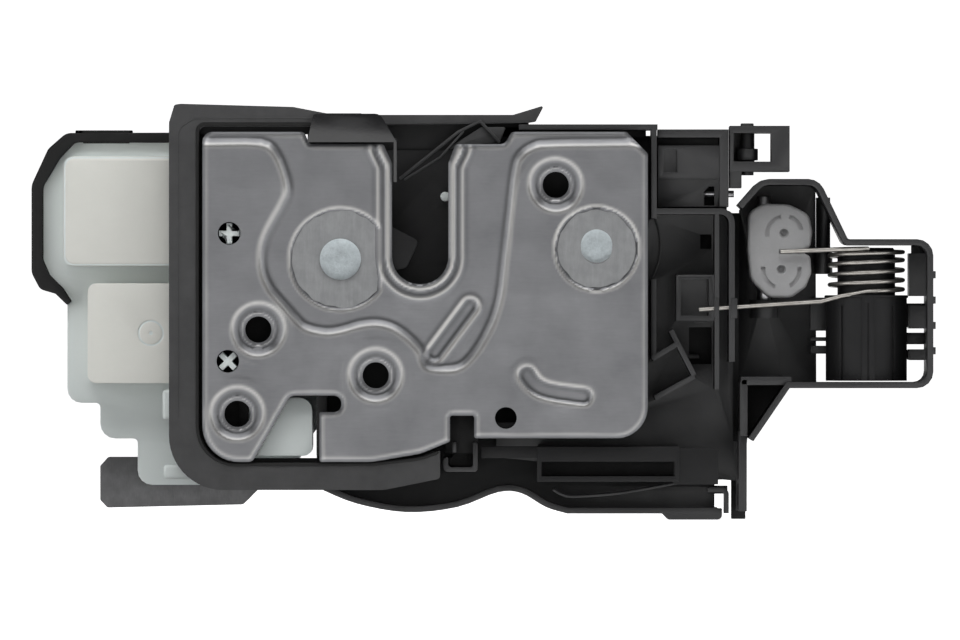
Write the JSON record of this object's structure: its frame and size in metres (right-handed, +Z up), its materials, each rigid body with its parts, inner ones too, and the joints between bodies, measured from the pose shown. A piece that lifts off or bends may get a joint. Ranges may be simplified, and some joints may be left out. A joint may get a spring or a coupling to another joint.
{
  "type": "side door latch",
  "caption": "Vehicle side-door latch: slotted steel face plate with catch and pawl, rubber gasket, white power-lock actuator housing and black carrier with sprung toggle.",
  "frame": {"origin": "outer face of the face plate, on the striker slot's centre line, 25.5 mm below the slot's root", "axes": "+X across the plate towards the carrier arm, +Y into the door, +Z up along the striker slot towards its mouth"},
  "size_m": [0.2001, 0.062, 0.092],
  "materials": {
    "plate_steel": "satin zinc-nickel plated sheet steel, brushed, lighter rolled edges",
    "rivet_zinc": "matt pale zinc, cold headed",
    "dark_steel": "dark brushed pressed steel",
    "spring_steel": "drawn spring wire, satin",
    "terminal_brass": "tinned brass strip",
    "black_plastic": "moulded black plastic with fine grain",
    "gloss_black": "glossy black moulded plastic",
    "gasket_rubber": "dark grey rubber, matt",
    "white_plastic": "natural white moulded plastic, slightly translucent",
    "grey_plastic": "light grey moulded plastic"
  },
  "bodies": {
    "root": {"face_plate": "plate_steel", "back_plate": "plate_steel", "toggle_pin": "plate_steel", "wheel_pin": "plate_steel", "lock_lever_pin": "plate_steel", "lock_motor": "plate_steel", "cover_screw_1": "plate_steel", "cover_screw_2": "plate_steel", "cover_screw_3": "plate_steel", "cover_screw_4": "plate_steel", "catch_rivet": "rivet_zinc", "pawl_rivet": "rivet_zinc", "lever_pin": "rivet_zinc", "catch_spring": "spring_steel", "pawl_spring": "spring_steel", "lever_spring": "spring_steel", "toggle_spring": "spring_steel", "link_pin": "spring_steel", "lead_frame": "terminal_brass", "terminal_1": "terminal_brass", "terminal_2": "terminal_brass", "terminal_3": "terminal_brass", "terminal_4": "terminal_brass", "latch_housing": "black_plastic", "actuator_cover": "black_plastic", "seal_clip": "black_plastic", "lock_switch": "black_plastic", "carrier_frame": "black_plastic", "link_guide": "black_plastic", "key_bracket": "black_plastic", "carrier_arm": "black_plastic", "spring_post": "black_plastic", "lower_cover": "black_plastic", "lower_guide": "black_plastic", "notch_pocket": "black_plastic", "mouth_guide": "gloss_black", "plate_gasket": "gasket_rubber", "mouth_flap": "gasket_rubber", "housing_seal": "gasket_rubber", "striker_bumper": "gasket_rubber", "plate_pin_upper": "white_plastic", "plate_pin_lower": "white_plastic", "guide_pin": "white_plastic", "actuator_housing": "white_plastic"},
    "catch": {"catch_plate": "plate_steel", "catch_cover": "black_plastic"},
    "pawl": {"pawl_plate": "plate_steel", "pawl_cover": "black_plastic"},
    "release_lever": {"outer_release_lever": "dark_steel"},
    "toggle": {"lock_toggle": "grey_plastic"},
    "key": {"key_shaft": "black_plastic"},
    "worm": {"worm": "white_plastic"},
    "wheel": {"worm_wheel": "white_plastic"},
    "lock_lever": {"lock_lever": "black_plastic"},
    "plunger": {"switch_plunger": "white_plastic"}
  },
  "joints": [
    {"name": "catch_turn", "type": "hinge", "parent": "root", "child": "catch", "pos_m": [-0.0176, 0, 0.031], "axis": [0, 1, 0], "range_deg": [0, 65], "stiffness_Nm_per_rad": 0.02},
    {"name": "pawl_lift", "type": "hinge", "parent": "root", "child": "pawl", "pos_m": [0.0389, 0, 0.0341], "axis": [0, -1, 0], "range_deg": [0, 12], "stiffness_Nm_per_rad": 0.02},
    {"name": "release_lever_swing", "type": "hinge", "parent": "root", "child": "release_lever", "pos_m": [-0.042, 0, -0.009], "axis": [0, 1, 0], "range_deg": [-4, 12], "stiffness_Nm_per_rad": 0.02},
    {"name": "wheel_turn", "type": "hinge", "parent": "root", "child": "wheel", "pos_m": [-0.038, 0.0252, 0.0289], "axis": [0, 1, 0], "range_deg": [-60, 60]},
    {"name": "worm_spin", "type": "hinge", "parent": "root", "child": "worm", "pos_m": [-0.038, 0.0252, 0.0416], "axis": [1, 0, 0], "range_deg": [-1200, 1200]},
    {"name": "lock_lever_swing", "type": "hinge", "parent": "root", "child": "lock_lever", "pos_m": [-0.014, 0.03, 0.026], "axis": [0, 1, 0], "range_deg": [-18, 18]},
    {"name": "toggle_rock", "type": "hinge", "parent": "root", "child": "toggle", "pos_m": [0.0762, 0.018, 0.033], "axis": [0, 0, 1], "range_deg": [-8, 8]},
    {"name": "key_turn", "type": "hinge", "parent": "root", "child": "key", "pos_m": [0.0723, 0.01, 0.055], "axis": [0, 0, 1], "range_deg": [-45, 45]},
    {"name": "plunger_press", "type": "slide", "parent": "root", "child": "plunger", "axis": [0, 0, -1], "range_m": [0, 0.0015], "stiffness_N_per_m": 200}
  ],
  "couplings": [
    {"joint": "worm_spin", "follows": "wheel_turn", "ratio": 20},
    {"joint": "lock_lever_swing", "follows": "wheel_turn", "ratio": -0.3},
    {"joint": "toggle_rock", "follows": "wheel_turn", "ratio": 0.133}
  ]
}
